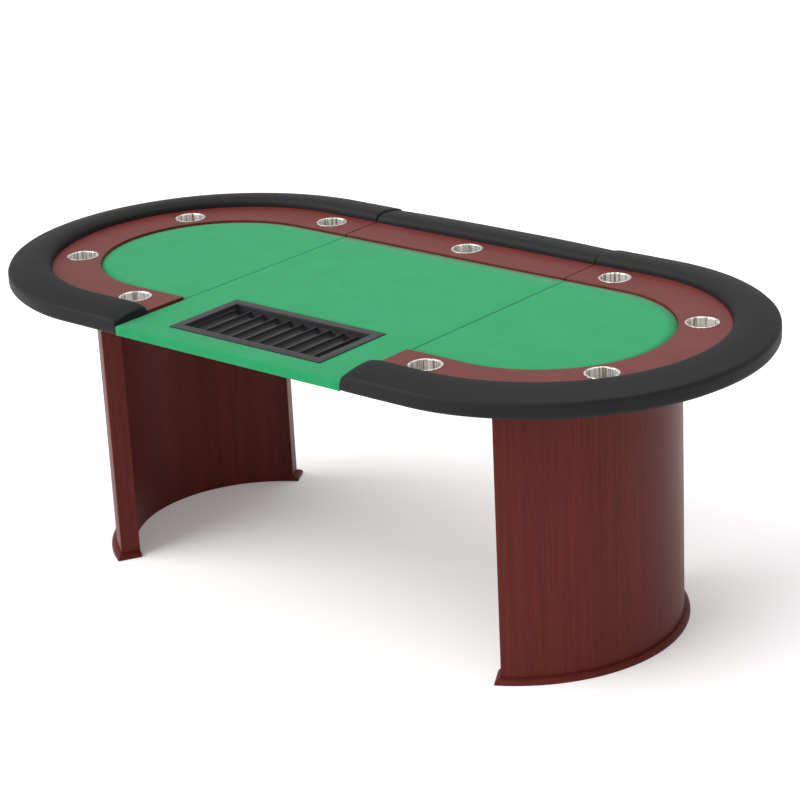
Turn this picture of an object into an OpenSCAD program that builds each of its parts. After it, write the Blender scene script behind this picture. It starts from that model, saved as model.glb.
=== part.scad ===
// Three-section oval card table: two end sections on curved panel legs carry a middle section
// with a felt-wrapped dealer's edge and a chip tray. Nine drop-in cup holders.
// Origin on the floor under the centre; +X along the length, -Y the dealer's side, +Z up.

/* [Table] */
// Overall length
table_l = 2096; // [1800:1:2400]
// Overall width
table_w = 1067; // [1000:1:1200]
// Height of the crown of the padded rail
table_h = 768; // [700:1:800]
// Gap left between neighbouring sections when they are locked together
joint_gap = 0.6; // [0.4:0.1:1.5]

/* [Playing surface] */
// Half the width of the felt field, which is also the radius of its round ends
felt_r = 300; // [280:1:310]
// Thickness of the three decks
deck_t = 18; // [15:1:20]
// Thickness of the foam under the felt
foam_t = 2; // [2:0.5:3]
// Thickness of the felt
felt_t = 1; // [0.8:0.1:1.5]
// Thickness of the veneered boards that carry the cup holders
race_t = 10; // [8:1:12]

/* [Rail] */
// Width of the padded rail
rail_w = 110; // [100:1:125]
// Height of the rail's crown above the veneered boards
rail_rise = 23; // [14:1:26]
// How far the rail's covering hangs below the decks
rail_drop = 3; // [2:0.5:4]
// Height of the wooden core inside the rail
rail_core_h = 10; // [8:1:12]

/* [Cup holders] */
// Radius of the bore of a cup holder
cup_bore_r = 34.3; // [30:0.1:36]
// Wall thickness of a cup holder
cup_wall = 1.2; // [0.8:0.1:2]
// Radius of the flange of a cup holder
cup_flange_r = 40; // [38:0.5:42]
// Depth of a cup holder below its flange
cup_depth = 64; // [50:1:70]
// Radial play of a cup holder in its hole
cup_play = 1.2; // [0.8:0.1:2]
// Distance of the straight rows of cup holders from the middle line
cup_line_r = 362; // [355:1:368]
// Radius of the rows of cup holders round the ends
cup_end_r = 354; // [350:1:368]
// Distance along X of the cup holders beside the joints
cup_side_x = 452; // [430:1:480]
// Angle of the cup holders on the round ends
cup_end_angle = 33.8; // [28:0.1:40]

/* [Chip tray] */
// Length of the tray's flange
tray_l = 467; // [460:1:480]
// Width of the tray's flange
tray_w = 230; // [220:1:235]
// Width of the flange round the recess
tray_flange = 24; // [20:1:26]
// Number of chip grooves
groove_count = 10; // [8:1:10]
// Radius of a chip groove
groove_r = 19.6; // [19:0.1:20]
// Depth of the ridges between grooves below the flange
tray_recess = 12; // [8:1:16]
// Thickness of the moulded plastic
tray_wall = 2.5; // [2:0.1:3]
// Distance of the tray's middle from the table's middle line
tray_y = 352; // [345:1:360]

/* [Legs] */
// Radius of the outer face of a leg
leg_r = 388; // [360:1:400]
// Distance of a leg's centre of curvature from the table's centre
leg_cx = 421; // [400:1:440]
// Half of the angle that a leg's panel covers
leg_half_angle = 60.4; // [50:0.1:65]
// Overall thickness of a leg's panel
leg_t = 49; // [45:1:55]
// Thickness of each bent plywood skin
leg_skin_t = 6; // [5:0.5:8]
// Thickness and height of the quarter-round base moulding
mould = 14; // [12:1:18]

/* [Table locks] */
// Distance of the locks from the middle line
lock_y = 180; // [150:1:260]
// Distance from a lock's pivot to its stud
lock_reach = 50; // [46:1:60]
// Radius of the pivots and studs
lock_pin_r = 4; // [3:0.5:5]
// Radial play of the arm round its pivot and stud
lock_play = 0.3; // [0.25:0.05:0.6]

/* [Hidden] */
$fn = 96;
joint_x = table_l / 6;                    // middle of the gap between two sections
end_r = table_w / 2;                      // outer radius of the round ends
end_cx = table_l / 2 - end_r;             // centre of the round ends
mid_x = joint_x - joint_gap / 2;          // end of the middle section
side_x = joint_x + joint_gap / 2;         // start of an end section
race_top = table_h - rail_rise;
deck_top = race_top - race_t;
deck_bot = deck_top - deck_t;
foam_top = deck_top + foam_t;
felt_top = foam_top + felt_t;
cover_t = 6;                              // foam and vinyl over the outer edge of a deck
deck_r = end_r - cover_t;
rail_in = end_r - rail_w;                 // inner edge of the rail
edge_gap = 0.5;                           // space kept along the edges of the veneered boards
race_out = rail_in - edge_gap;            // outer edge of the veneered boards
field_r = felt_r - edge_gap;              // edge of the felt and its foam
core_in = rail_in + cover_t;
core_out = end_r - 3 * cover_t;
dealer_edge = end_r - foam_t - felt_t;    // front of the middle deck, under its foam and felt
edge_roll = 6;                            // radius of the felt over the dealer's edge
hole_r = cup_bore_r + cup_wall + cup_play;
tray_play = 2.5;                          // play all round the tray in its opening
tray_hole_l = tray_l - 2 * (tray_flange - tray_wall - tray_play);
tray_hole_w = tray_w - 2 * (tray_flange - tray_wall - tray_play);
play = 0.2;                               // play between round faces inside one section
batten_w = 40;
batten_h = 30;
batten_bot = deck_bot - batten_h;
batten_half = 430;                        // half the length of the cross battens
batten_inset = 6;                         // distance of a cross batten from its joint
long_batten_ys = [-120, 260];             // front faces of the long battens
dowel_r = 6;
dowel_reach = 30;                         // how far a dowel enters each batten
dowel_z = deck_bot - batten_h / 2;
dowel_ys = [-380, 0, 380];
screw_r = 2;
screw_head_r = 4.5;
screw_head_t = 2.4;
screw_short = 3;                          // how far a rail screw stops below the top of its core
rail_screw_r = (core_in + core_out) / 2;
rail_screw_angles = [-75:30:75];
rail_screw_inset = 40;                    // distance of a rail's last screw from the joint
rail_screw_xs = [-300:150:300];
batten_screw_ys = [-340, -90, 90, 340];
leg_in = leg_r - leg_t;
leg_skin_out = leg_r - leg_skin_t;
leg_skin_in = leg_in + leg_skin_t;
leg_post_t = 8;                           // thickness of the strips on a leg's ends
leg_plate_t = 18;
rib_t = 18;
rib_angles = [-44, -22, 0, 22, 44];
plate_lift = 2;                           // space between a leg's base plate and the floor
cleat_t = 22;
cleat_h = 32;
cleat_half_angle = 40;
bolt_angles = [-32, 0, 32];
bolt_r = 3;
bolt_reach = 22;                          // how far a bolt enters a leg's top plate
bolt_head_r = 5.5;
bolt_head_t = 4;
bolt_z = deck_bot - leg_plate_t / 2;
lock_plate_t = 2;
lock_arm_t = 3;
lock_arm_w = 22;
lock_gap = 3;                             // space between the plates and the arms
lock_cap_t = 2.5;                         // thickness of the heads of the pivots and studs
lock_top = batten_bot;
lock_arm_top = lock_top - lock_plate_t - lock_gap;
lock_arm_bot = lock_arm_top - lock_arm_t;
lock_plate_l = 34;
lock_cap_r = lock_pin_r + 3;
lock_nose_r = 14;                         // end of an arm, round its hook
lock_tab = 36;                            // length of an arm's finger tab
lock_pivot_x = joint_x - lock_reach / 2;
lock_stud_x = joint_x + lock_reach / 2;
eps = 0.01;                               // overlap of solids that are joined
over = 1;                                 // how far a cutter runs past a face

// Places of the nine cup holders, numbered from the dealer's left, round the back, to the right
end_cup = [end_cx + cup_end_r * cos(cup_end_angle), cup_end_r * sin(cup_end_angle)];
CUPS = [
    [-cup_side_x, -cup_line_r], [-end_cup[0], -end_cup[1]], [-end_cup[0], end_cup[1]],
    [-cup_side_x, cup_line_r], [0, cup_line_r], [cup_side_x, cup_line_r],
    [end_cup[0], end_cup[1]], [end_cup[0], -end_cup[1]], [cup_side_x, -cup_line_r]
];
// Places of the four table locks: side of the table, then front or back
LOCKS = [[-1, -1], [-1, 1], [1, -1], [1, 1]];

// ---- Shared shapes -------------------------------------------------------------------------

// Takes what is modelled at the right-hand end to the side given: 1 right, -1 left
module at_side(side) {
    mirror([side < 0 ? 1 : 0, 0, 0]) children();
}

// Carries a profile, drawn as radius and height, round the right end and along its straight runs
module end_sweep() {
    translate([end_cx, 0, 0]) rotate([0, 0, -90]) rotate_extrude(angle = 180) children();
    for (s = [0, 1]) mirror([0, s, 0]) straight_run(side_x, end_cx) children();
}

// Runs a profile, drawn as distance from the middle line and height, along the back
module straight_run(x0, x1) {
    translate([x0, 0, 0]) rotate([90, 0, 90]) linear_extrude(x1 - x0) children();
}

// Outline of an end section at the given radius
module end_outline(r) {
    translate([side_x, -r]) square([end_cx - side_x, 2 * r]);
    intersection() {
        translate([end_cx, 0]) circle(r);
        translate([end_cx, -r]) square([r, 2 * r]);
    }
}

// A wall standing on an arc about the leg's centre, between two radii and two heights
module leg_arc(r0, r1, z0, z1, half_angle = leg_half_angle) {
    translate([leg_cx, 0, 0]) rotate([0, 0, -half_angle]) rotate_extrude(angle = 2 * half_angle)
        translate([r0, z0]) square([r1 - r0, z1 - z0]);
}

// Local frame on a leg's arc: X radial, Y along the arc away from the leg's middle
module on_leg(angle) {
    translate([leg_cx, 0, 0]) mirror([0, angle < 0 ? 1 : 0, 0]) rotate([0, 0, abs(angle)]) children();
}

// Holes of the cup holders
module cup_holes(z0, z1) {
    for (c = CUPS) translate([c[0], c[1], z0]) cylinder(r = hole_r, h = z1 - z0);
}

// Opening for the chip tray
module tray_hole(z0, z1) {
    translate([-tray_hole_l / 2, -tray_y - tray_hole_w / 2, z0])
        cube([tray_hole_l, tray_hole_w, z1 - z0]);
}

// Places of the rail screws: round an end or along the back of the middle section
module end_rail_screws() {
    for (a = rail_screw_angles) translate([end_cx, 0, 0]) rotate([0, 0, a])
        translate([rail_screw_r, 0, 0]) children();
    for (s = [-1, 1]) translate([side_x + rail_screw_inset, s * rail_screw_r, 0]) children();
}
module middle_rail_screws() {
    for (x = rail_screw_xs) translate([x, rail_screw_r, 0]) children();
}
module screw_hole(z0, z1) {
    translate([0, 0, z0]) cylinder(r = screw_r + play, h = z1 - z0);
}

// ---- Top: decks, foam, felt, veneered boards ------------------------------------------------

module end_deck(side) {
    color("burlywood") difference() {
        at_side(side) translate([0, 0, deck_bot]) linear_extrude(deck_t) end_outline(deck_r);
        cup_holes(deck_bot - over, deck_top + over);
        at_side(side) end_rail_screws() screw_hole(deck_bot - over, deck_top + over);
    }
}

module middle_deck() {
    color("burlywood") difference() {
        translate([-mid_x, -dealer_edge, deck_bot]) cube([2 * mid_x, dealer_edge + deck_r, deck_t]);
        cup_holes(deck_bot - over, deck_top + over);
        tray_hole(deck_bot - over, deck_top + over);
        middle_rail_screws() screw_hole(deck_bot - over, deck_top + over);
    }
}

module end_foam(side) {
    color("gainsboro") at_side(side) translate([0, 0, deck_top])
        linear_extrude(foam_t) end_outline(field_r);
}

// Arc of the rolled dealer's edge at a given depth below the felt, from front to top
function rolled_edge(depth) = [for (a = [0:15:90])
    [end_r - edge_roll, felt_top - edge_roll] + (edge_roll - depth) * [cos(a), sin(a)]];

// Runs a profile along the dealer's edge, where the distance from the middle line grows to the front
module dealer_run() {
    mirror([0, 1, 0]) straight_run(-mid_x, mid_x) children();
}

module middle_foam() {
    color("gainsboro") difference() {
        dealer_run() polygon(concat(
            [[dealer_edge, deck_bot], [end_r - felt_t, deck_bot]], rolled_edge(felt_t),
            [[-field_r, foam_top], [-field_r, deck_top], [dealer_edge, deck_top]]));
        tray_hole(deck_top - over, foam_top + over);
    }
}

module end_felt(side) {
    color("mediumseagreen") at_side(side) translate([0, 0, foam_top])
        linear_extrude(felt_t) end_outline(field_r);
}

// The felt of the middle section runs over the dealer's edge and is stapled under the deck
module middle_felt() {
    turn = 40;
    color("mediumseagreen") difference() {
        dealer_run() polygon(concat(
            [[end_r - turn, deck_bot - felt_t], [end_r, deck_bot - felt_t]], rolled_edge(0),
            [[-field_r, felt_top], [-field_r, foam_top]],
            [for (i = [6:-1:0]) rolled_edge(felt_t)[i]],
            [[end_r - felt_t, deck_bot], [end_r - turn, deck_bot]]));
        tray_hole(foam_top - over, felt_top + over);
    }
}

// Profile of a veneered board, with its exposed inner edge rounded
module race_profile() {
    ease = 2;
    difference() {
        translate([felt_r, deck_top]) square([race_out - felt_r, race_t]);
        difference() {
            translate([felt_r - over, race_top - ease]) square([ease + over, ease + over]);
            translate([felt_r + ease, race_top - ease]) circle(ease);
        }
    }
}

module end_racetrack(side) {
    color("sienna") difference() {
        at_side(side) end_sweep() race_profile();
        cup_holes(deck_top - over, race_top + over);
    }
}

module middle_racetrack() {
    color("sienna") difference() {
        straight_run(-mid_x, mid_x) race_profile();
        cup_holes(deck_top - over, race_top + over);
    }
}

// ---- Rail: wooden core and padded covering --------------------------------------------------

module core_profile() {
    translate([core_in, deck_top]) square([core_out - core_in, rail_core_h]);
}

// Covering of foam and vinyl: over the core, down the deck's edge and turned in under the deck
module pad_profile() {
    crown = 78;                            // distance of the crown from the outer face
    crease = [12, 11];                     // width and height of the shoulder above the outer face
    side_top = deck_top + 9;
    roll = [16, 17];                       // width and height of the roll down to the boards
    roll_z = race_top + 2;
    foot_r = 12;                           // turn of the covering under the deck
    foot_z = deck_bot - rail_drop;
    hem = 38;                              // how far in from the outer face it is stapled
    flat = [8, 12, 0.7];                   // flattened crown: inward, outward and its drop
    polygon(concat(
        [[rail_in, deck_top], [rail_in, roll_z]],
        [for (a = [180:-15:105]) [rail_in + roll[0] * (1 + cos(a)), roll_z + roll[1] * sin(a)]],
        [[end_r - crown - flat[0], table_h - flat[2]], [end_r - crown, table_h],
         [end_r - crown + flat[1], table_h - flat[2]]],
        [for (a = [75:-15:0]) [end_r - crease[0] * (1 - cos(a)), side_top + crease[1] * sin(a)]],
        [for (a = [0:-15:-90]) [end_r - foot_r * (1 - cos(a)), foot_z + foot_r * (1 + sin(a))]],
        [[end_r - hem, foot_z], [end_r - hem, deck_bot],
         [deck_r + play, deck_bot], [deck_r + play, deck_top],
         [core_out + play, deck_top], [core_out + play, deck_top + rail_core_h + play],
         [core_in - play, deck_top + rail_core_h + play], [core_in - play, deck_top]]));
}

module core_screw_hole() {
    screw_hole(deck_top - over, deck_top + rail_core_h - screw_short / 2);
}

module end_rail_core(side) {
    color("tan") difference() {
        at_side(side) end_sweep() core_profile();
        at_side(side) end_rail_screws() core_screw_hole();
    }
}

module middle_rail_core() {
    color("tan") difference() {
        straight_run(-mid_x, mid_x) core_profile();
        middle_rail_screws() core_screw_hole();
    }
}

module end_rail_pad(side) {
    color([0.2, 0.2, 0.21]) at_side(side) end_sweep() pad_profile();
}

module middle_rail_pad() {
    color([0.2, 0.2, 0.21]) straight_run(-mid_x, mid_x) pad_profile();
}

// ---- Cup holders and chip tray --------------------------------------------------------------

// A spun steel cup with a thin flange that lies on the veneered board
module cup_holder(i) {
    c = CUPS[i - 1];
    rim = 1.2;
    seat = race_top + play;
    color("silver") translate([c[0], c[1], seat]) rotate_extrude() difference() {
        union() {
            translate([0, rim - cup_depth]) square([cup_bore_r + cup_wall, cup_depth - rim]);
            square([cup_flange_r - rim / 2, rim]);
            translate([cup_flange_r - rim / 2, rim / 2]) circle(rim / 2);
        }
        translate([0, rim - cup_depth + cup_wall]) square([cup_bore_r, cup_depth]);
        translate([-cup_flange_r, -cup_depth]) square([cup_flange_r, 2 * cup_depth]);
    }
}

// Moulded tray: flat flange, shallow recess and a row of half-round grooves for chips
module chip_tray() {
    flange_z = felt_top + play;
    flange_t = 2.6;
    top = flange_z + flange_t;
    inner_l = tray_l - 2 * tray_flange;
    inner_w = tray_w - 2 * tray_flange;
    pitch = inner_l / groove_count;
    ridge = top - tray_recess;
    groove_xs = [for (i = [0:groove_count - 1]) (i - (groove_count - 1) / 2) * pitch];
    floor_z = ridge - groove_r - tray_wall;
    color("dimgray") translate([0, -tray_y, 0]) difference() {
        union() {
            translate([-tray_l / 2, -tray_w / 2, flange_z]) cube([tray_l, tray_w, flange_t]);
            translate([-inner_l / 2 - tray_wall, -inner_w / 2 - tray_wall, ridge - over])
                cube([inner_l + 2 * tray_wall, inner_w + 2 * tray_wall, tray_recess]);
            intersection() {
                for (x = groove_xs) translate([x, inner_w / 2 + tray_wall, ridge])
                    rotate([90, 0, 0]) cylinder(r = groove_r + tray_wall, h = inner_w + 2 * tray_wall);
                translate([-inner_l / 2 - tray_wall, -inner_w, floor_z])
                    cube([inner_l + 2 * tray_wall, 2 * inner_w, ridge - floor_z]);
            }
        }
        translate([-inner_l / 2, -inner_w / 2, ridge]) cube([inner_l, inner_w, tray_recess + over]);
        for (x = groove_xs) translate([x, inner_w / 2, ridge])
            rotate([90, 0, 0]) cylinder(r = groove_r, h = inner_w);
    }
}

// ---- Underframe -----------------------------------------------------------------------------

module end_batten(side) {
    color("peru") at_side(side) difference() {
        translate([side_x + batten_inset, -batten_half, batten_bot])
            cube([batten_w, 2 * batten_half, batten_h]);
        for (y = dowel_ys) translate([side_x + batten_inset - over, y, dowel_z])
            rotate([0, 90, 0]) cylinder(r = dowel_r + play, h = dowel_reach + 2 * over);
        batten_screw_places(side_x) screw_hole(batten_bot - over, deck_bot + over);
    }
}

// Two cross battens at the joints and two long ones between them, clear of the tray
module middle_battens() {
    long_x = mid_x - batten_inset - batten_w;
    color("peru") {
        for (side = [-1, 1]) at_side(side) difference() {
            translate([long_x, -batten_half, batten_bot]) cube([batten_w, 2 * batten_half, batten_h]);
            for (y = dowel_ys) translate([mid_x - batten_inset + over, y, dowel_z])
                rotate([0, -90, 0]) cylinder(r = dowel_r, h = dowel_reach + over);
            batten_screw_places(long_x - batten_inset) screw_hole(batten_bot - over, deck_bot + over);
        }
        for (y = long_batten_ys) translate([-long_x + play, y, batten_bot])
            cube([2 * (long_x - play), batten_w, batten_h]);
    }
}

module batten_screw_places(x0) {
    for (y = batten_screw_ys) translate([x0 + batten_inset + batten_w / 2, y, 0]) children();
}

// Hardwood dowels glued into the middle section that slip into the end sections
module section_dowels() {
    inner_x = mid_x - batten_inset - dowel_reach;
    outer_x = side_x + batten_inset + dowel_reach;
    color("wheat") for (side = [-1, 1]) at_side(side)
        for (y = dowel_ys) translate([inner_x, y, dowel_z])
            rotate([0, 90, 0]) cylinder(r = dowel_r, h = outer_x - inner_x);
}

// Pan-head screw driven upward, its head bearing on the face at z
module screw_up(z, length) {
    translate([0, 0, z - screw_head_t]) cylinder(r = screw_head_r, h = screw_head_t);
    translate([0, 0, z - eps]) cylinder(r = screw_r, h = length + eps);
}

module rail_screws() {
    length = deck_t + rail_core_h - screw_short;
    color("darkgray") {
        for (side = [-1, 1]) at_side(side) end_rail_screws() screw_up(deck_bot, length);
        middle_rail_screws() screw_up(deck_bot, length);
    }
}

module batten_screws() {
    color("darkgray") for (side = [-1, 1]) at_side(side) {
        batten_screw_places(side_x) screw_up(batten_bot, batten_h);
        batten_screw_places(mid_x - batten_w - 2 * batten_inset) screw_up(batten_bot, batten_h);
    }
}

// ---- Legs -----------------------------------------------------------------------------------

// Space beyond a leg's skins that its end posts fill
module post_space() {
    for (s = [-1, 1]) on_leg(s * leg_half_angle)
        translate([leg_in - over, -leg_post_t, -over])
            cube([leg_t + 2 * over, leg_post_t + over, deck_bot + 2 * over]);
}

// Holes of the bolts, from the cleat into the top plate
module bolt_holes() {
    for (a = bolt_angles) on_leg(a) translate([leg_in - cleat_t - over, 0, bolt_z])
        rotate([0, 90, 0]) cylinder(r = bolt_r + play, h = cleat_t + leg_skin_t + bolt_reach + over);
}

module leg_skin(side, r0, r1) {
    color("saddlebrown") at_side(side) difference() {
        leg_arc(r0, r1, 0, deck_bot);
        post_space();
        if (r0 < leg_skin_in) bolt_holes();
    }
}

module leg_end_posts(side) {
    color("saddlebrown") at_side(side) for (s = [-1, 1]) on_leg(s * leg_half_angle)
        translate([leg_in, -leg_post_t, 0]) cube([leg_t, leg_post_t, deck_bot]);
}

module leg_ribs(side) {
    z0 = plate_lift + leg_plate_t;
    z1 = deck_bot - leg_plate_t;
    color("tan") at_side(side) for (a = rib_angles) on_leg(a)
        translate([leg_skin_in + 2 * play, -rib_t / 2, z0])
            cube([leg_skin_out - leg_skin_in - 5 * play, rib_t, z1 - z0]);
}

module leg_plate(side, z0) {
    color("tan") at_side(side) difference() {
        leg_arc(leg_skin_in + play, leg_skin_out - play, z0, z0 + leg_plate_t);
        post_space();
        bolt_holes();
    }
}

// Profile of the quarter-round moulding, drawn from the face it is nailed to
module mould_profile() {
    foot = 3;
    polygon(concat([[0, 0], [mould, 0]],
        [for (a = [0:10:90]) [mould * cos(a), foot + (mould - foot) * sin(a)]]));
}

// The moulding follows the outer face and returns across both ends: three pieces, mitred together
module leg_moulding(side) {
    face = leg_r + play;
    past = 3;                              // degrees the outer piece runs on past the leg's end
    color("saddlebrown") at_side(side) {
        difference() {
            translate([leg_cx, 0, 0]) rotate([0, 0, -leg_half_angle - past])
                rotate_extrude(angle = 2 * (leg_half_angle + past)) translate([face, 0]) mould_profile();
            for (s = [-1, 1]) on_leg(s * leg_half_angle) mitre_cut(face);
        }
        for (s = [-1, 1]) on_leg(s * leg_half_angle) difference() {
            translate([leg_in, 0, 0]) rotate([90, 0, 90])
                linear_extrude(face + mould + over - leg_in) mould_profile();
            mirror_on_mitre(face) mitre_cut(face);
        }
    }
}

// The half of the mitre's plane that belongs to the return, as a block to cut with
module mitre_cut(face) {
    gap = 0.05;
    reach = 2 * mould;
    translate([face, 0, -over]) rotate([0, 0, 45]) translate([-reach, -gap, 0])
        cube([2 * reach, 3 * mould, mould + 2 * over]);
}

module mirror_on_mitre(face) {
    translate([face, 0, 0]) mirror([1, -1, 0]) translate([-face, 0, 0]) children();
}

// Curved wooden cleat that ties the leg to the deck on its hollow side
module leg_cleat(side) {
    r1 = leg_in - play;
    color("peru") at_side(side) difference() {
        leg_arc(r1 - cleat_t, r1, deck_bot - cleat_h, deck_bot, cleat_half_angle);
        bolt_holes();
    }
}

// Hex-head bolts through the cleat and the inner skin into the leg's top plate
module leg_bolts(side) {
    face = leg_in - play - cleat_t;
    flat_gap = 0.5;                        // the flat head stands off the hollow face by this much
    shank = cleat_t + leg_skin_t + bolt_reach - 2 * over;
    color("gray") at_side(side) for (a = bolt_angles) on_leg(a)
        translate([face - flat_gap, 0, bolt_z]) rotate([0, 90, 0]) {
            translate([0, 0, -bolt_head_t]) cylinder(r = bolt_head_r, h = bolt_head_t, $fn = 6);
            translate([0, 0, -eps]) cylinder(r = bolt_r, h = shank);
        }
}

// ---- Table locks: a swinging arm on the middle section hooks a stud on the end section --------

// Plate with a headed pin below it, for pivots and studs alike
module lock_post(x, y) {
    translate([x - lock_plate_l / 2, y - lock_plate_l / 2, lock_top - lock_plate_t])
        cube([lock_plate_l, lock_plate_l, lock_plate_t]);
    translate([x, y, lock_arm_bot - lock_play])
        cylinder(r = lock_pin_r, h = lock_top - lock_arm_bot + lock_play - lock_plate_t + eps);
    translate([x, y, lock_arm_bot - lock_play - lock_cap_t])
        cylinder(r = lock_cap_r, h = lock_cap_t + eps);
}

module lock_bases() {
    color("lightsteelblue") for (k = LOCKS)
        at_side(k[0]) lock_post(lock_pivot_x, k[1] * lock_y);
}

module lock_keepers() {
    color("lightsteelblue") for (k = LOCKS)
        at_side(k[0]) lock_post(lock_stud_x, k[1] * lock_y);
}

// Flat arm: round eye on the pivot, hook slot cut on an arc about the pivot, finger tab behind
module lock_arm(i) {
    k = LOCKS[i - 1];
    slot_r = lock_pin_r + lock_play + play;
    color("slategray") translate([k[0] * lock_pivot_x, k[1] * lock_y, lock_arm_bot])
        mirror([k[0] < 0 ? 1 : 0, 0, 0]) mirror([0, k[1] < 0 ? 1 : 0, 0])
        linear_extrude(lock_arm_t) difference() {
            union() {
                translate([0, -lock_arm_w / 2]) square([lock_reach, lock_arm_w]);
                translate([lock_reach, 0]) circle(lock_nose_r);
                circle(lock_arm_w / 2);
                translate([-lock_tab, -lock_arm_w / 3]) square([lock_tab, lock_arm_w / 1.5]);
                translate([-lock_tab, 0]) circle(lock_arm_w / 3);
            }
            circle(lock_pin_r + lock_play);
            translate([lock_reach, 0]) circle(slot_r);
            intersection() {
                difference() {
                    circle(lock_reach + slot_r);
                    circle(lock_reach - slot_r);
                }
                translate([lock_reach - 2 * slot_r, -2 * lock_arm_w])
                    square([4 * slot_r, 2 * lock_arm_w]);
            }
        }
}

// ---- Assembly -------------------------------------------------------------------------------

end_deck(-1);  // left_deck
middle_deck();
end_deck(1);  // right_deck
end_foam(-1);  // left_foam
middle_foam();
end_foam(1);  // right_foam
end_felt(-1);  // left_felt
middle_felt();
end_felt(1);  // right_felt
end_racetrack(-1);  // left_racetrack
middle_racetrack();
end_racetrack(1);  // right_racetrack
end_rail_core(-1);  // left_rail_core
middle_rail_core();
end_rail_core(1);  // right_rail_core
end_rail_pad(-1);  // left_rail_pad
middle_rail_pad();
end_rail_pad(1);  // right_rail_pad
end_batten(-1);  // left_batten
middle_battens();
end_batten(1);  // right_batten
cup_holder(1);  // cup_holder_1
cup_holder(2);  // cup_holder_2
cup_holder(3);  // cup_holder_3
cup_holder(4);  // cup_holder_4
cup_holder(5);  // cup_holder_5
cup_holder(6);  // cup_holder_6
cup_holder(7);  // cup_holder_7
cup_holder(8);  // cup_holder_8
cup_holder(9);  // cup_holder_9
chip_tray();
leg_skin(-1, leg_skin_out, leg_r);  // left_leg_outer_skin
leg_skin(-1, leg_in, leg_skin_in);  // left_leg_inner_skin
leg_end_posts(-1);  // left_leg_end_posts
leg_ribs(-1);  // left_leg_ribs
leg_plate(-1, deck_bot - leg_plate_t);  // left_leg_top_plate
leg_plate(-1, plate_lift);  // left_leg_base_plate
leg_moulding(-1);  // left_leg_moulding
leg_cleat(-1);  // left_leg_cleat
leg_bolts(-1);  // left_leg_bolts
leg_skin(1, leg_skin_out, leg_r);  // right_leg_outer_skin
leg_skin(1, leg_in, leg_skin_in);  // right_leg_inner_skin
leg_end_posts(1);  // right_leg_end_posts
leg_ribs(1);  // right_leg_ribs
leg_plate(1, deck_bot - leg_plate_t);  // right_leg_top_plate
leg_plate(1, plate_lift);  // right_leg_base_plate
leg_moulding(1);  // right_leg_moulding
leg_cleat(1);  // right_leg_cleat
leg_bolts(1);  // right_leg_bolts
section_dowels();
rail_screws();
batten_screws();
lock_bases();
lock_keepers();
lock_arm(1);  // lock_arm_1
lock_arm(2);  // lock_arm_2
lock_arm(3);  // lock_arm_3
lock_arm(4);  // lock_arm_4
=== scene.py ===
# Looks of a three-section oval card table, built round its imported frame. Metres, +Z up,
# +X along the length, -Y the dealer's side.
import math

import bmesh
import bpy
from mathutils import Matrix, Vector, noise


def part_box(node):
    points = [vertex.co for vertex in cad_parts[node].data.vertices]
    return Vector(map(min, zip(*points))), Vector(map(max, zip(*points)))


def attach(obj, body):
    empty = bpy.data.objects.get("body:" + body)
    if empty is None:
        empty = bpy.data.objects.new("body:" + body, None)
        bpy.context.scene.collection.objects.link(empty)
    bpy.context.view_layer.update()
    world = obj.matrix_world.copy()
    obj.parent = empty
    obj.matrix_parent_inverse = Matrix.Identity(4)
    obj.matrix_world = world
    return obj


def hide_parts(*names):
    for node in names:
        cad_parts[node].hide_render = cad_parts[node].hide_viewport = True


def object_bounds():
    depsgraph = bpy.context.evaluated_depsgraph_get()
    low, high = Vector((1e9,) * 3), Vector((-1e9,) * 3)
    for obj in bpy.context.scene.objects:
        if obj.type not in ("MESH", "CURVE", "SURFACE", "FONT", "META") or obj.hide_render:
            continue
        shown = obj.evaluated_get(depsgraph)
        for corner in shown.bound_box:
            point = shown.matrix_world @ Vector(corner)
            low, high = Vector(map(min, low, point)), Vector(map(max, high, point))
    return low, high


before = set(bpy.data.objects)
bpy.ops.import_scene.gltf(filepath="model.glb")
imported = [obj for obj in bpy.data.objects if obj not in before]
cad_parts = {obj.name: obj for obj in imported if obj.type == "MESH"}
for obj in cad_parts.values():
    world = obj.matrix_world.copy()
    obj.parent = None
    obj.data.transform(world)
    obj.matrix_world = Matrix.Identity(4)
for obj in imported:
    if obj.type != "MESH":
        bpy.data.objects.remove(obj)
cad_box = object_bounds()


# ---- Legs: ribs and plates -------------------------------------------------------------------
# Each leg is a hollow curved panel. Raw plywood ribs stand between a top and a base plate, all
# glued between two bent skins. They show only from underneath.

class Wire:
    """A socket of a material's nodes, so that shader maths reads as an expression."""

    def __init__(self, tree, socket):
        self.tree = tree
        self.socket = socket

    def node(self, kind, values, out=0, stops=None, **settings):
        """Adds a node: its settings first, then the values or links of its sockets."""
        new = self.tree.nodes.new("ShaderNode" + kind)
        for key, value in settings.items():
            setattr(new, key, value)
        if stops:
            ramp = new.color_ramp
            while len(ramp.elements) < len(stops):
                ramp.elements.new(0.5)
            for element, (place, colour) in zip(ramp.elements, stops):
                element.position = place
                element.color = colour
        for name, value in values.items():
            if isinstance(value, Wire):
                self.tree.links.new(value.socket, new.inputs[name])
            else:
                new.inputs[name].default_value = value
        return Wire(self.tree, new.outputs[out])

    def maths(self, operation, first, second):
        return self.node("Math", {0: first, 1: second}, operation=operation)

    def __add__(self, other):
        return self.maths("ADD", self, other)

    def __radd__(self, other):
        return self.maths("ADD", other, self)

    def __sub__(self, other):
        return self.maths("SUBTRACT", self, other)

    def __rsub__(self, other):
        return self.maths("SUBTRACT", other, self)

    def __mul__(self, other):
        return self.maths("MULTIPLY", self, other)

    def __rmul__(self, other):
        return self.maths("MULTIPLY", other, self)

    def __truediv__(self, other):
        return self.maths("DIVIDE", self, other)


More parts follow.
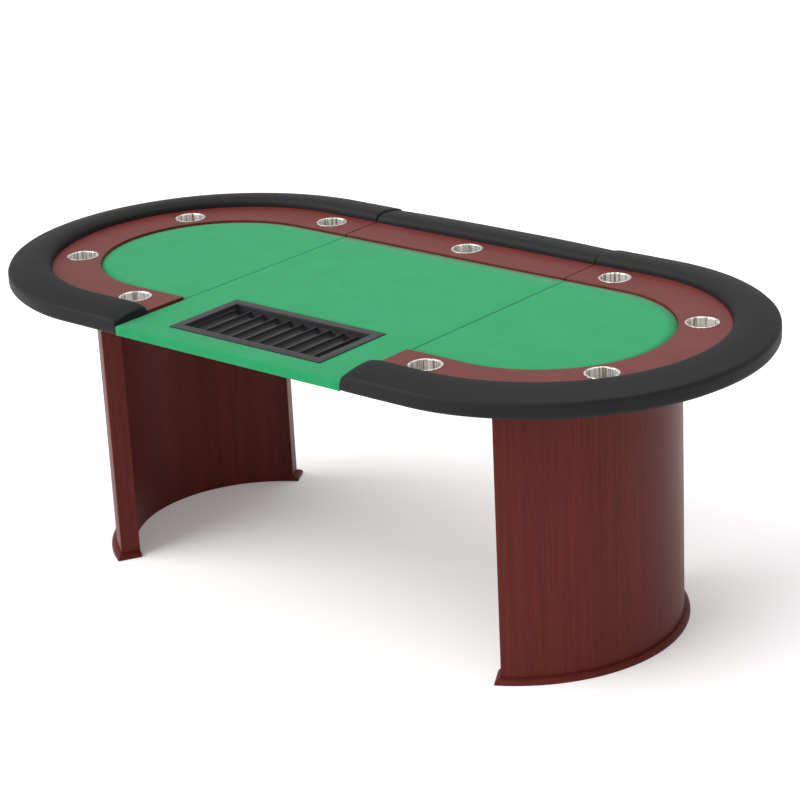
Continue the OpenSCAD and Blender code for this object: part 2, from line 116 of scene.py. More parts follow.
def rgb(red, green, blue):
    """A shader colour from the 0 to 255 values that a paint chart gives."""
    def linear(value):
        share = value / 255
        return share / 12.92 if share <= 0.04045 else ((share + 0.055) / 1.055) ** 2.4
    return linear(red), linear(green), linear(blue), 1.0


class Finish:
    """A material with its object coordinates at hand and its few linked sockets."""

    def __init__(self, name, **constants):
        self.material = bpy.data.materials.new(name)
        self.material.use_nodes = True
        self.tree = self.material.node_tree
        self.shader = self.tree.nodes["Principled BSDF"]
        for socket, value in constants.items():
            self.shader.inputs[socket.replace("_", " ")].default_value = value
        texture = self.tree.nodes.new("ShaderNodeTexCoord")
        self.place = Wire(self.tree, texture.outputs["Object"])

    def stretched(self, x, y, z):
        """Object coordinates multiplied along each axis."""
        return self.place.node("Mapping", {"Vector": self.place, "Scale": (x, y, z)})

    def noise(self, vector, scale, detail=2.0, roughness=0.5, distortion=0.0):
        return self.place.node("TexNoise", {
            "Vector": vector, "Scale": scale, "Detail": detail, "Roughness": roughness,
            "Distortion": distortion})

    def blend(self, share, first, second):
        """One colour to another as share goes from 0 to 1."""
        return self.place.node("Mix", {0: share, 6: first, 7: second}, out=2, data_type="RGBA")

    def ramp(self, share, low, high, start=0.3, end=0.7):
        return self.place.node("ValToRGB", {0: share}, stops=[(start, low), (end, high)])

    def between(self, value, low, high):
        """A 0 to 1 value carried to the range from low to high."""
        return value * (high - low) + low

    def link(self, socket, wire):
        self.tree.links.new(wire.socket, self.shader.inputs[socket])

    def bump(self, height, distance, strength=1.0):
        """Height, 0 to 1, as a relief of the given depth in metres."""
        self.link("Normal", self.place.node("Bump", {
            "Height": height, "Distance": distance, "Strength": strength}))


def plywood(name, light, dark):
    """Raw sheet wood: short fibres along X, darker flecks, a dry matt face."""
    finish = Finish(name, Specular_IOR_Level=0.25)
    fibre = finish.noise(finish.stretched(9, 90, 90), 6, 5, 0.65)
    fleck = finish.noise(finish.place, 240, 3)
    tone = finish.blend(fibre, dark, light)
    finish.link("Base Color", finish.blend(finish.between(fleck, 0, 0.35), tone, dark))
    finish.link("Roughness", finish.between(fibre, 0.65, 0.85))
    finish.bump(fibre + fleck, 0.0002, 0.5)
    return finish.material


ply_finish = plywood("raw_plywood", rgb(205, 170, 125), rgb(150, 112, 72))


def carry(node, material):
    """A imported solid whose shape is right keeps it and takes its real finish."""
    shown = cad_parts[node]
    shown.data.materials.clear()
    shown.data.materials.append(material)


for side in ("left", "right"):
    for part in ("ribs", "top_plate", "base_plate", "cleat"):
        carry(f"{side}_leg_{part}", ply_finish)


# ---- Legs: veneered skins and end posts ------------------------------------------------------
# Bent plywood skins with straight-grained mahogany veneer under satin lacquer. Solid strips
# close both ends of the panel; every outer edge is eased with sandpaper.

lacquer_edge = 0.00072


def merged_copy(node):
    """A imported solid's mesh with its loose triangles joined and its flat faces made whole."""
    bm = bmesh.new()
    bm.from_mesh(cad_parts[node].data)
    bmesh.ops.remove_doubles(bm, verts=bm.verts, dist=2e-6)
    bmesh.ops.dissolve_limit(bm, angle_limit=math.radians(0.4), verts=bm.verts, edges=bm.edges)
    return bm


def eased(node, body, slot, material, width, segments=3, sharp=0.6, shorten=0.0):
    """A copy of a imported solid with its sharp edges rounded, standing for the solid. Its ends
    at the joints between sections can be cut back a little."""
    bm = merged_copy(node)
    if shorten:
        cut_back(bm, shorten)
    edges = [e for e in bm.edges if len(e.link_faces) == 2 and e.calc_face_angle(0) > sharp]
    rounds = bmesh.ops.bevel(bm, geom=edges, offset=width, offset_type="OFFSET",
                             segments=segments, profile=0.5, affect="EDGES",
                             clamp_overlap=True, material=-1)["faces"]
    rounds = set(rounds)
    for face in rounds:
        for edge in face.edges:
            edge.smooth = all(other in rounds for other in edge.link_faces)
    return piece(node + "_eased", bm, body, slot, material, node)


joints_at = (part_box("middle_deck")[1].x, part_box("right_deck")[0].x)


def cut_back(bm, length):
    """Moves the end faces at the joints between sections back from the joint."""
    for v in bm.verts:
        for joint, way in zip(joints_at, (-1, 1)):
            if abs(abs(v.co.x) - joint) < 1e-5:
                v.co.x += way * length * math.copysign(1, v.co.x)
                break


def piece(name, bm, body, slot, material, *nodes, smooth=0.7):
    """Turns a bmesh into a finished piece: smooth, on its body, standing for its nodes."""
    for face in bm.faces:
        face.smooth = True
    for edge in bm.edges:
        if len(edge.link_faces) == 2 and edge.calc_face_angle(0) > smooth:
            edge.smooth = False
    mesh = bpy.data.meshes.new(name)
    bm.to_mesh(mesh)
    bm.free()
    mesh.materials.append(material)
    made = bpy.data.objects.new(name, mesh)
    bpy.context.scene.collection.objects.link(made)
    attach(made, body)
    if nodes:
        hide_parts(*nodes)
    return made


def mahogany_veneer(name, vertical, light, dark, coat):
    """Mahogany: ribbon figure, long fine grain and open pores, all along one axis."""
    finish = Finish(name, Specular_IOR_Level=0.11 if vertical else 0.2, Coat_Roughness=0.35,
                    Coat_IOR=1.3)
    along = (60, 60, 0.9) if vertical else (0.9, 60, 60)
    wide = (9, 9, 0.35) if vertical else (0.35, 14, 14)
    pores = (300, 300, 7) if vertical else (7, 300, 300)
    ribbon = finish.noise(finish.stretched(*wide), 1.6, 3, 0.55, 0.3)
    grain = finish.noise(finish.stretched(*along), 2.2, 5, 0.6, 0.2)
    pore = finish.noise(finish.stretched(*pores), 2.0, 2, 0.5)
    tone = finish.blend(finish.between(grain, -0.15, 1.1), dark, light)
    deep = tuple(0.62 * c for c in dark[:3]) + (1.0,)
    black, white = (0, 0, 0, 1), (1, 1, 1, 1)
    tone = finish.blend(finish.ramp(ribbon, black, white, 0.35, 0.75) * 0.38, tone, dark)
    tone = finish.blend(finish.ramp(pore, white, black, 0.28, 0.46) * 0.5, tone, deep)
    finish.link("Base Color", tone)
    finish.link("Roughness", finish.between(grain, 0.36, 0.5))
    finish.link("Coat Weight", finish.between(pore, coat * 0.8, coat))
    finish.bump(pore * 0.6 + grain * 0.4, 0.00006, 0.6)
    return finish.material


leg_finish = mahogany_veneer("leg_veneer", True, rgb(110, 43, 36), rgb(70, 24, 19), 0.05)
for side in ("left", "right"):
    for part in ("outer_skin", "inner_skin", "end_posts"):
        eased(f"{side}_leg_{part}", "table", "leg_mahogany", leg_finish, lacquer_edge)


# ---- Legs: base moulding ---------------------------------------------------------------------
# Quarter-round hardwood pinned round the foot of the outer face and across both ends, mitred
# at the corners and stained to match.

for side in ("left", "right"):
    eased(f"{side}_leg_moulding", "table", "leg_mahogany", leg_finish, 0.0005, 2, 0.9)


# ---- Legs: bolts, battens, dowels and screws -------------------------------------------------
# Zinc-plated bolts and screws, raw battens and turned beech dowels: the working parts under
# the top, seen only from below.

def zinc(name):
    """Bright zinc plate: faint cloudy passivation and fine tumbling scratches."""
    finish = Finish(name, Metallic=1.0)
    cloud = finish.noise(finish.place, 90, 3)
    scratch = finish.noise(finish.stretched(30, 400, 400), 6, 2)
    finish.link("Base Color", finish.blend(cloud, rgb(176, 178, 182), rgb(204, 202, 194)))
    finish.link("Roughness", finish.between(scratch, 0.28, 0.45))
    finish.bump(scratch, 0.00003, 0.4)
    return finish.material


zinc_finish = zinc("zinc_plate")
for node in ("left_leg_bolts", "right_leg_bolts", "rail_screws", "batten_screws"):
    carry(node, zinc_finish)
for node in ("left_batten", "middle_battens", "right_batten"):
    eased(node, "table", "core_wood", ply_finish, 0.0015, 2)
carry("section_dowels", plywood("turned_beech", rgb(222, 188, 140), rgb(186, 146, 98)))


# ---- Decks -----------------------------------------------------------------------------------
# Three 18 mm fibreboard decks, sawn to the oval, bored for the cups and the tray and brushed
# all over with a dark stain. The stain is also made extra dark as painted shade, so that the
# narrow gaps at the joints between sections read dark.

# Dark deck colour: partly a stain, partly painted shade for the joint gaps.
deck_stain_and_gap_shade = plywood("fibreboard", rgb(66, 46, 36), rgb(40, 28, 22))
for section in ("left", "middle", "right"):
    carry(f"{section}_deck", deck_stain_and_gap_shade)


# ---- Foam under the cloth --------------------------------------------------------------------
# Thin closed-cell foam glued to the decks; it makes the cloth feel soft and is hidden by it.

def foam(name):
    finish = Finish(name, Specular_IOR_Level=0.2)
    cell = finish.place.node("TexVoronoi", {"Vector": finish.place, "Scale": 900.0})
    finish.link("Base Color", finish.blend(cell, rgb(58, 62, 60), rgb(74, 78, 76)))
    finish.link("Roughness", finish.between(cell, 0.8, 0.95))
    finish.bump(cell, 0.0003, 0.6)
    return finish.material


foam_finish = foam("closed_cell_foam")
foam_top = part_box("middle_foam")[1].z
foam_bevel = 0.00195
for section in ("left", "middle", "right"):
    bm = merged_copy(f"{section}_foam")
    at_joint = {v for v in bm.verts if v.co.z > foam_top - 1e-5
                and min(abs(abs(v.co.x) - joint) for joint in joints_at) < 1e-5}
    edges = [e for e in bm.edges if at_joint.issuperset(e.verts)]
    bmesh.ops.bevel(bm, geom=edges, offset=foam_bevel, offset_type="OFFSET", segments=4,
                    profile=0.5, affect="EDGES", clamp_overlap=True, material=-1)
    piece(f"{section}_foam_sheet", bm, "table", "foam", foam_finish, f"{section}_foam")


# ---- Cloth -----------------------------------------------------------------------------------
# Green napped cloth stretched over the foam and rolled down at the joints. On the middle
# section it also runs over the dealer's edge and is stapled under the deck.

felt_low, felt_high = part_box("middle_felt")
end_felt_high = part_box("right_felt")[1]
deck_low, deck_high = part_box("middle_deck")
table_high = Vector(cad_box[1])
end_radius = table_high.y
end_centre = table_high.x - end_radius
middle_end, side_start = joints_at
cloth_top = felt_high.z
cloth_thick = 0.001
field_gap = 0.0012
field_radius = end_felt_high.y - field_gap
joint_roll = 0.003


def felt(name):
    """Billiard-like cloth: two greens mixed by fibre, a soft nap and a faint cloudiness."""
    finish = Finish(name, Specular_IOR_Level=0.12, Sheen_Weight=0.12, Sheen_Roughness=0.45)
    fibre = finish.noise(finish.place, 900, 4, 0.7)
    lint = finish.noise(finish.stretched(1, 1.7, 1), 260, 3, 0.6, 0.6)
    cloud = finish.noise(finish.place, 11, 4, 0.6, 0.8)
    tone = finish.blend(fibre, rgb(12, 116, 66), rgb(34, 144, 90))
    tone = finish.blend(finish.between(lint, -0.1, 0.4), tone, rgb(24, 134, 80))
    tone = finish.blend(finish.between(cloud, -0.15, 0.6), tone, rgb(44, 149, 99))
    finish.link("Base Color", tone)
    finish.link("Roughness", finish.between(fibre, 0.86, 1.0))
    finish.bump(fibre * 0.6 + lint * 0.4, 0.0004, 0.55)
    return finish.material


felt_finish = felt("green_felt")


def rolled(count=6):
    """Steps of a quarter roll, as how far along and how far down, in shares of its radius."""
    for step in range(1, count + 1):
        angle = math.pi / 2 * step / count
        yield math.sin(angle), 1 - math.cos(angle)


def run_out(bm, edges, move):
    """Extrudes edges and moves the new ones; gives back the new edges."""
    made = bmesh.ops.extrude_edge_only(bm, edges=edges)["geom"]
    bmesh.ops.translate(bm, vec=move, verts=[v for v in made if isinstance(v, bmesh.types.BMVert)])
    return [e for e in made if isinstance(e, bmesh.types.BMEdge)
            and all(v in made for v in e.verts)]


def chain(bm, points):
    """A line of edges through the points."""
    verts = [bm.verts.new(p) for p in points]
    return [bm.edges.new(pair) for pair in zip(verts, verts[1:])]


def face_up(bm):
    """Turns all faces of a one-sided sheet to its upper side."""
    bmesh.ops.recalc_face_normals(bm, faces=bm.faces)
    if sum(f.normal.z * f.calc_area() for f in bm.faces) < 0:
        bmesh.ops.reverse_faces(bm, faces=bm.faces)


def thicken(made):
    """Gives a sheet of cloth its thickness, below its upper face."""
    solid = made.modifiers.new("thickness", "SOLIDIFY")
    solid.thickness = cloth_thick
    solid.offset = -1
    solid.use_even_offset = False


def end_cloth(name, sign):
    """Half an oval of cloth: straight rows to the round end, then a fan about its centre."""
    bm = bmesh.new()
    radius = field_radius
    rows = 24
    start = side_start + joint_roll
    edge = chain(bm, [(start, radius * (2 * i / rows - 1), cloth_top) for i in range(rows + 1)])
    roll = edge
    last = (0.0, 0.0)
    for along, down in rolled():
        roll = run_out(bm, roll, (-(along - last[0]) * joint_roll, 0,
                                  -(down - last[1]) * joint_roll))
        last = (along, down)
    run_out(bm, roll, (0, 0, -0.0006))
    steps = 8
    for _ in range(steps):
        edge = run_out(bm, edge, ((end_centre - start) / steps, 0, 0))
    upper = [e for e in edge if min(v.co.y for v in e.verts) > -1e-6]
    bmesh.ops.spin(bm, geom=upper, cent=(end_centre, 0, 0), axis=(0, 0, 1), angle=-math.pi,
                   steps=48, use_duplicate=False)
    bmesh.ops.remove_doubles(bm, verts=bm.verts, dist=1e-5)
    if sign < 0:
        bmesh.ops.scale(bm, vec=(-1, 1, 1), verts=bm.verts)
    face_up(bm)
    made = piece(name + "_cloth", bm, "table", "felt", felt_finish, name)
    thicken(made)


end_cloth("left_felt", -1)
end_cloth("right_felt", 1)

tray_low, tray_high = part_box("chip_tray")
tray_flange = 0.0165


def middle_cloth():
    """One cut of cloth over the middle deck and its dealer's edge, with a hole for the tray."""
    bm = bmesh.new()
    edge_roll = 0.006
    front = felt_low.y
    turn = 0.04
    fold = 0.0012
    hole_back = tray_high.y - tray_flange
    hole_front = tray_low.y + tray_flange
    hole_half = tray_high.x - tray_flange
    back = felt_high.y - field_gap
    ys = [back + (hole_back - back) * i / 14 for i in range(15)]
    ys += [hole_back + (hole_front - hole_back) * i / 4 for i in range(1, 5)]
    flat_end = front + edge_roll
    ys += [hole_front + (flat_end - hole_front) * i / 3 for i in range(1, 4)]
    line = [(y, cloth_top) for y in ys]
    line += [(flat_end - along * edge_roll, cloth_top - down * edge_roll)
             for along, down in rolled(8)]
    line += [(front, felt_low.z + fold), (front + fold, felt_low.z), (front + turn, felt_low.z)]
    inner = middle_end - joint_roll
    stops = [-inner, -hole_half, 0, hole_half, inner]
    edge = chain(bm, [(-inner, y, z) for y, z in line])
    first = edge
    for here, there in zip(stops, stops[1:]):
        steps = 6
        for _ in range(steps):
            edge = run_out(bm, edge, ((there - here) / steps, 0, 0))
    hole = [f for f in bm.faces if abs(f.calc_center_median().x) < hole_half
            and hole_front < f.calc_center_median().y < hole_back
            and f.calc_center_median().z > cloth_top - 1e-4]
    bmesh.ops.delete(bm, geom=hole, context="FACES")
    normals = {}
    for (y0, z0), (y1, z1), (y2, z2) in zip([line[0]] + line, line, line[1:] + [line[-1]]):
        across = Vector((0, z2 - z0, -(y2 - y0))).normalized()
        normals[(round(y1, 6), round(z1, 6))] = across if across.length else Vector((0, 0, 1))
    for ring, sign in ((first, -1), (edge, 1)):
        last = (0.0, 0.0)
        for along, down in rolled():
            ring = run_out(bm, ring, (sign * (along - last[0]) * joint_roll, 0, 0))
            for v in {v for e in ring for v in e.verts}:
                home = min(normals, key=lambda p: (p[0] - v.co.y) ** 2 + (p[1] - v.co.z) ** 2)
                v.co -= normals[home] * (down - last[1]) * joint_roll
            last = (along, down)
    corner_round = 0.004
    for v in bm.verts:
        dx = abs(v.co.x) - (middle_end - corner_round)
        dy = front + corner_round - v.co.y
        if dx > 0 and dy > 0:
            squeeze = max(dx, dy) / math.hypot(dx, dy)
            v.co.x = math.copysign(middle_end - corner_round + dx * squeeze, v.co.x)
            v.co.y = front + corner_round - dy * squeeze
    face_up(bm)
    made = piece("middle_felt_cloth", bm, "table", "felt", felt_finish, "middle_felt")
    thicken(made)


middle_cloth()


# ---- Racetrack -------------------------------------------------------------------------------
# Boards 10 mm thick with a mahogany foil, glued to the decks round the cloth. Each section's
# boards stop square at the joints; their exposed edges are eased.

race_finish = mahogany_veneer("racetrack_veneer", False, rgb(114, 49, 42), rgb(84, 26, 21), 0.18)
for section in ("left", "middle", "right"):
    eased(f"{section}_racetrack", "table", "mahogany", race_finish, 0.0009, 2, 0.9,
          shorten=0.0013)


# ---- Rail cores ------------------------------------------------------------------------------
# Plywood cores screwed to the decks from below; the rails' foam and vinyl hide them.

core_end = 0.012
for section in ("left", "middle", "right"):
    bm = merged_copy(f"{section}_rail_core")
    cut_back(bm, core_end)
    piece(f"{section}_core", bm, "table", "core_wood", ply_finish, f"{section}_rail_core")


# ---- Padded rails ----------------------------------------------------------------------------
# Foam over the cores under black grained vinyl, pulled tight and stapled under the decks. The
# ends are pulled in at the joints, so the rails swell a little between them.

race_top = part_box("middle_racetrack")[1].z
rail_high = table_high.z
rail_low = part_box("middle_rail_pad")[0].z
rail_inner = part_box("middle_rail_pad")[0].y
core_low, core_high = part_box("middle_rail_core")
deck_edge = deck_high.y
snug = 0.0003


def corner(cx, cz, reach_x, reach_z, start, end, steps, power=2.0):
    """Points round a corner, as a superellipse about its centre, from one angle to another."""
    for step in range(steps + 1):
        angle = math.radians(start + (end - start) * step / steps)
        c, s = math.cos(angle), math.sin(angle)
        yield (cx + reach_x * math.copysign(abs(c) ** (2 / power), c),
               cz + reach_z * math.copysign(abs(s) ** (2 / power), s))


def rail_section():
    """Outline of a rail cut across: distance from the middle line and height."""
    hem = 0.038
    foot = 0.012
    shoulder = 0.012
    shoulder_z = deck_high.z + 0.009
    crown = 0.08
    crown_run = 0.042
    roll_z = race_top - 0.001
    outline = [(end_radius - hem, rail_low), (end_radius - 0.02, rail_low)]
    outline += corner(end_radius - foot, rail_low + foot, foot, foot, -90, 0, 6)
    side = list(corner(end_radius - shoulder, shoulder_z, shoulder, shoulder, 0, 64, 6))
    outline += side
    first, last = Vector(side[-1]), Vector((end_radius - crown, rail_high))
    middle = Vector((first.x - crown_run, rail_high))
    for step in range(1, 13):
        t = step / 12
        outline.append(tuple(first * (1 - t) ** 2 + middle * 2 * t * (1 - t) + last * t ** 2))
    inward = end_radius - crown - rail_inner
    outline += list(corner(end_radius - crown, roll_z, inward, rail_high - roll_z, 90, 180, 12,
                           2.8))[1:]
    outline += [(rail_inner, deck_high.z + snug), (core_low.y - snug, deck_high.z + snug),
                (core_low.y - snug, core_high.z + snug), (core_high.y + snug, core_high.z + snug),
                (core_high.y + snug, deck_high.z + snug), (deck_edge + snug, deck_high.z + snug),
                (deck_edge + snug, deck_low.z - snug), (end_radius - hem, deck_low.z - snug)]
    return outline


def vinyl(name):
    """Black upholstery vinyl: pebbled grain in two sizes, a soft sheen where it is stretched."""
    finish = Finish(name, Specular_IOR_Level=0.15)
    pebble = finish.place.node("TexVoronoi", {"Vector": finish.place, "Scale": 620.0},
                               feature="SMOOTH_F1")
    fine = finish.noise(finish.place, 1500, 2)
    cloud = finish.noise(finish.place, 14, 3)
    finish.link("Base Color", finish.blend(cloud, rgb(24, 24, 26), rgb(31, 31, 33)))
    finish.link("Roughness", finish.between(cloud + fine * 0.3, 0.46, 0.62))
    finish.bump(pebble + fine * 0.3, 0.00022, 0.5)
    return finish.material


vinyl_finish = vinyl("black_vinyl")


def stuffed(made, held, most):
    """Blows a cover up with a short cloth run, held where it is stapled or glued, and keeps
    the swelling of every point under the given distance."""
    frames = 20
    group = made.vertex_groups.new(name="held")
    group.add(held, 1.0, "REPLACE")
    before = [v.co.copy() for v in made.data.vertices]
    cloth = made.modifiers.new("stuffing", "CLOTH")
    cloth.settings.quality = 6
    cloth.settings.mass = 0.3
    cloth.settings.tension_stiffness = 20
    cloth.settings.compression_stiffness = 20
    cloth.settings.bending_stiffness = 1.5
    cloth.settings.use_pressure = True
    cloth.settings.uniform_pressure_force = 4
    cloth.settings.vertex_group_mass = "held"
    cloth.settings.effector_weights.gravity = 0
    cloth.point_cache.frame_start = 1
    cloth.point_cache.frame_end = frames
    scene = bpy.context.scene
    for step in range(1, frames + 1):
        scene.frame_set(step)
    shape = made.evaluated_get(bpy.context.evaluated_depsgraph_get()).to_mesh()
    after = [v.co.copy() for v in shape.vertices]
    made.modifiers.remove(cloth)
    for v, old, new in zip(made.data.vertices, before, after):
        moved = new - old
        v.co = old + moved * min(1.0, most / max(moved.length, 1e-9))
    scene.frame_set(1)
    made.data.update()


def rail(name, sign=0):
    """A rail swept along its path: straight, round the end and straight, or just straight."""
    bm = bmesh.new()
    outline = rail_section()
    gaps = [0, 0.0006, 0.0018, 0.0038, 0.007, 0.012, 0.02, 0.03, 0.045, 0.065, 0.09, 0.12]
    if sign:
        start = side_start
        length = end_centre - side_start
        ring = loop(bm, [(start, -d, z) for d, z in outline])
        for here, there in zip(gaps, gaps[1:] + [length]):
            ring = run_out(bm, ring, (there - here, 0, 0))
        bmesh.ops.spin(bm, geom=ring, cent=(end_centre, 0, 0), axis=(0, 0, 1), angle=math.pi,
                       steps=96, use_duplicate=False)
        bm.verts.ensure_lookup_table()
        ring = [e for e in bm.edges if e.is_boundary
                and all(v.co.y > 0 and abs(v.co.x - end_centre) < 1e-6 for v in e.verts)]
        backward = [length, *gaps[::-1]]
        for here, there in zip(backward, backward[1:]):
            ring = run_out(bm, ring, (there - here, 0, 0))
    else:
        ring = loop(bm, [(-middle_end, d, z) for d, z in outline])
        xs = [-middle_end + g for g in gaps] + [-0.18, -0.12, -0.06]
        xs = xs + [0.0] + [-x for x in xs[::-1]]
        for here, there in zip(xs, xs[1:]):
            ring = run_out(bm, ring, (there - here, 0, 0))
    held = shape_rail(bm, sign, outline[-8:] + outline[:2])
    bmesh.ops.edgeloop_fill(bm, edges=[e for e in bm.edges if e.is_boundary])
    if sign < 0:
        bmesh.ops.scale(bm, vec=(-1, 1, 1), verts=bm.verts)
    bmesh.ops.recalc_face_normals(bm, faces=bm.faces)
    made = piece(name.replace("_pad", "_cover"), bm, "table", "black_vinyl", vinyl_finish, name,
                 smooth=0.9)
    stuffed(made, held, 0.0025)
    return made


def loop(bm, points):
    verts = [bm.verts.new(p) for p in points]
    return [bm.edges.new(pair) for pair in zip(verts, verts[1:] + verts[:1])]


def shape_rail(bm, sign, inside):
    """Pulls the rail in at the joints, rounds its ends and lets the foam swell between them.
    Returns the points that stay put: inside the rail, at its staples and at its ends."""
    held = []
    for index, v in enumerate(bm.verts):
        x, y, z = v.co
        out = distance_out(v.co)
        start = side_start if sign else middle_end
        gap = max(0.0, (x - start) if sign else (start - abs(x)))
        if any(abs(out - far) < 1e-4 and abs(z - height) < 1e-4 for far, height in inside):
            held.append(index)
            if gap < core_end - snug and z > core_high.z:
                v.co.z = deck_high.z + snug
            continue
        if gap < 0.006:
            held.append(index)
        reach, drop = (0.045, 0.013) if sign and y < 0 else (0.012, 0.003)
        fall = drop * (1 - math.sqrt(1 - (1 - min(gap, reach) / reach) ** 2))
        tuck = 0.0022 * (1 - math.sqrt(1 - (1 - min(gap, 0.005) / 0.005) ** 2))
        swell = 0.0 if sign else (abs(x) / middle_end) ** 2.5
        top = min(1.0, max(0.0, (z - deck_high.z) / (rail_high - deck_high.z)))
        u = end_radius - out
        share = max(0.0, 1 - u / 0.09)
        side = Vector((0, math.copysign(1, y), 0)) if abs(x) < end_centre \
            else Vector((x - end_centre, y, 0)).normalized()
        wave = noise.noise(Vector((x, y, z)) * 11) * 0.0012
        v.co -= side * (tuck + 0.009 * swell * top - wave) * share
        v.co.z -= top * (fall + tuck + 0.004 * swell)
        if u > 0.095:
            v.co += side * tuck
        if z < rail_low + 0.006:
            v.co.z += tuck * 0.5
    return held


def distance_out(co):
    """How far a point is from the middle line of the oval."""
    if abs(co.x) < end_centre:
        return abs(co.y)
    return math.hypot(abs(co.x) - end_centre, co.y)


rail("left_rail_pad", -1)
rail("middle_rail_pad")
rail("right_rail_pad", 1)


# ---- Cup holders -----------------------------------------------------------------------------
# Drawn stainless steel cups dropped into holes in the boards. A thin rolled flange carries
# each one; the wall is brushed round and the floor turned.

def stainless(name):
    """Stainless steel with fine brushing round the cup; its lighter vertical streaks are painted
    reflection of the brushed wall.
    """
    finish = Finish(name, Metallic=0.75)
    brush = finish.noise(finish.stretched(6, 6, 900), 3, 3, 0.6)
    reflection_streak = finish.noise(finish.stretched(210, 210, 2), 1, 3, 0.7)
    dull, bright = rgb(140, 132, 122), rgb(255, 254, 250)
    # Colour runs from dull to bright in vertical streaks: painted reflection.
    finish.link("Base Color", finish.ramp(reflection_streak, dull, bright, 0.38, 0.55))
    finish.link("Roughness", finish.between(brush, 0.2, 0.38))
    finish.bump(brush, 0.00003, 0.35)
    return finish.material


steel_finish = stainless("stainless_steel")


def cup(number):
    name = f"cup_holder_{number}"
    low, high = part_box(name)
    centre = (low + high) / 2
    flange = (high.x - low.x) / 2
    wall = 0.0012
    bore = flange - 0.0057
    draft = 0.0008
    seat = high.z - wall
    fillet = 0.005
    lip = 0.002
    floor_z = low.z + wall
    path = [(0, floor_z), (bore - fillet - draft, floor_z)]
    path += list(corner(bore - fillet - draft, floor_z + fillet, fillet, fillet, -90, 0, 6))[1:]
    path += [(bore - draft * 0.5, (floor_z + seat) / 2), (bore, seat - lip)]
    path += list(corner(bore + lip, seat - lip, lip, lip + wall * 0.95, 180, 90, 5))[1:]
    path += [(flange - wall, high.z)]
    path += list(corner(flange - wall, seat + wall / 2, wall, wall / 2, 90, -90, 6))[1:]
    path += [(bore + wall * 2, seat), (bore + wall, seat - wall)]
    path += [(bore + wall - draft, floor_z + fillet)]
    path += list(corner(bore - fillet - draft, floor_z + fillet, fillet + wall, fillet + wall,
                        0, -90, 6))[1:]
    path += [(0, low.z)]
    bm = bmesh.new()
    wire = chain(bm, [(centre.x + r, centre.y, z) for r, z in path])
    geom = wire + list({v for e in wire for v in e.verts})
    bmesh.ops.spin(bm, geom=geom, cent=(centre.x, centre.y, 0), axis=(0, 0, 1),
                   angle=2 * math.pi, steps=64, use_merge=True, use_duplicate=False)
    bmesh.ops.remove_doubles(bm, verts=bm.verts, dist=1e-5)
    bmesh.ops.recalc_face_normals(bm, faces=bm.faces)
    piece(f"cup_{number}_steel", bm, f"cup_{number}", "stainless", steel_finish, name, smooth=0.6)


for number in range(1, 10):
    cup(number)


# ---- Chip tray -------------------------------------------------------------------------------
# One moulding in black ABS: a flat flange that lies on the cloth, a shallow recess and a row
# of half-round grooves for chips. Moulding leaves every edge soft.

def tray_plastic(name):
    """Black ABS with the fine spark texture of its mould."""
    finish = Finish(name, Specular_IOR_Level=0.45)
    spark = finish.noise(finish.place, 1300, 3, 0.6)
    cloud = finish.noise(finish.place, 20, 2)
    finish.link("Base Color", finish.blend(cloud, rgb(30, 29, 32), rgb(37, 36, 40)))
    finish.link("Roughness", finish.between(spark, 0.34, 0.5))
    finish.bump(spark, 0.00006, 0.6)
    return finish.material


ridge_top = tray_high.z - 0.012
ridge_round = 0.0012
bm = merged_copy("chip_tray")
ridges = [e for e in bm.edges if all(abs(v.co.z - ridge_top) < 1e-4 for v in e.verts)
          and abs(e.verts[0].co.x - e.verts[1].co.x) < 1e-5 and e.calc_length() > 0.1]
bmesh.ops.bevel(bm, geom=ridges, offset=ridge_round, offset_type="OFFSET", segments=3,
                profile=0.5, affect="EDGES", clamp_overlap=True, material=-1)
corners = [e for e in bm.edges if len(e.link_faces) == 2 and e.calc_face_angle(0) > 0.9]
bmesh.ops.bevel(bm, geom=corners, offset=0.0007, offset_type="OFFSET", segments=2, profile=0.5,
                affect="EDGES", clamp_overlap=True, material=-1)
piece("tray_moulding", bm, "tray", "tray_plastic", tray_plastic("black_abs"), "chip_tray",
      smooth=0.5)


# ---- Table locks -----------------------------------------------------------------------------
# Stamped and zinc-plated: a plate with a headed pivot on the middle section, a plate with a
# headed stud on the end section, and a flat arm that hooks the stud.

for node in ("lock_bases", "lock_keepers"):
    eased(node, "table", "zinc_steel", zinc_finish, 0.0004, 2)
for number in range(1, 5):
    eased(f"lock_arm_{number}", f"lock_{number}", "zinc_steel", zinc_finish, 0.0004, 2)


# ---- Studio ----------------------------------------------------------------------------------
# A pale seamless floor under a white dome, a large soft light overhead and a camera at a
# standing person's height, off the dealer's right-hand corner.

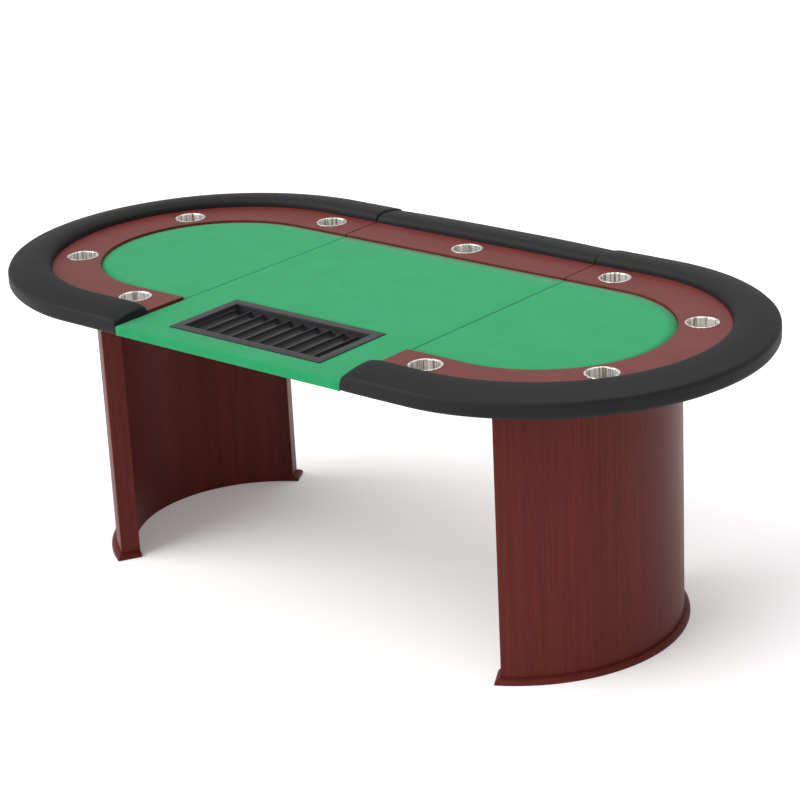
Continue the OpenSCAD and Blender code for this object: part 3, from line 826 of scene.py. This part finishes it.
floor_finish = Finish("studio_floor", Specular_IOR_Level=0.1, Emission_Color=(1, 1, 1, 1),
                      Emission_Strength=0.16)
dust = floor_finish.noise(floor_finish.place, 3, 2)
floor_finish.link("Base Color", floor_finish.blend(
    dust, rgb(248, 246, 246), rgb(250, 249, 249)))
floor_finish.link("Roughness", floor_finish.between(dust, 0.85, 0.95))
bm = bmesh.new()
bmesh.ops.create_grid(bm, x_segments=1, y_segments=1, size=60)
mesh = bpy.data.meshes.new("studio_floor")
bm.to_mesh(mesh)
bm.free()
mesh.materials.append(floor_finish.material)
floor = bpy.data.objects.new("studio_floor", mesh)
bpy.context.scene.collection.objects.link(floor)

world = bpy.data.worlds.new("white_dome")
world.use_nodes = True
sky = world.node_tree.nodes["Background"]
sky.inputs["Color"].default_value = (1, 1, 1, 1)
sky.inputs["Strength"].default_value = 0.6
bpy.context.scene.world = world
bpy.context.scene.view_settings.view_transform = "Standard"

light = bpy.data.lights.new("overhead", "AREA")
light.shape = "DISK"
light.size = 3.0
light.energy = 60
lamp = bpy.data.objects.new("overhead", light)
lamp.location = (0.4, 1.0, 4.2)
aim = Vector((0, 0, 0.7)) - lamp.location
lamp.rotation_euler = aim.to_track_quat("-Z", "Y").to_euler()
bpy.context.scene.collection.objects.link(lamp)

sun = bpy.data.lights.new("window", "SUN")
sun.energy = 3.0
sun.angle = math.radians(60)
window = bpy.data.objects.new("window", sun)
window.rotation_euler = Vector((0.45, 0.65, -0.62)).to_track_quat("-Z", "Y").to_euler()
bpy.context.scene.collection.objects.link(window)

lens = bpy.data.cameras.new("camera")
lens.lens = 111.24
lens.sensor_width = 36
camera = bpy.data.objects.new("camera", lens)
yaw, pitch, roll = math.radians(40.571), math.radians(20.644), math.radians(-2.81)
camera.matrix_world = (Matrix.Translation((3.7285, -4.2804, 2.59))
                       @ Matrix.Rotation(yaw, 4, "Z")
                       @ Matrix.Rotation(math.pi / 2 - pitch, 4, "X")
                       @ Matrix.Rotation(roll, 4, "Z"))
bpy.context.scene.collection.objects.link(camera)
bpy.context.scene.camera = camera
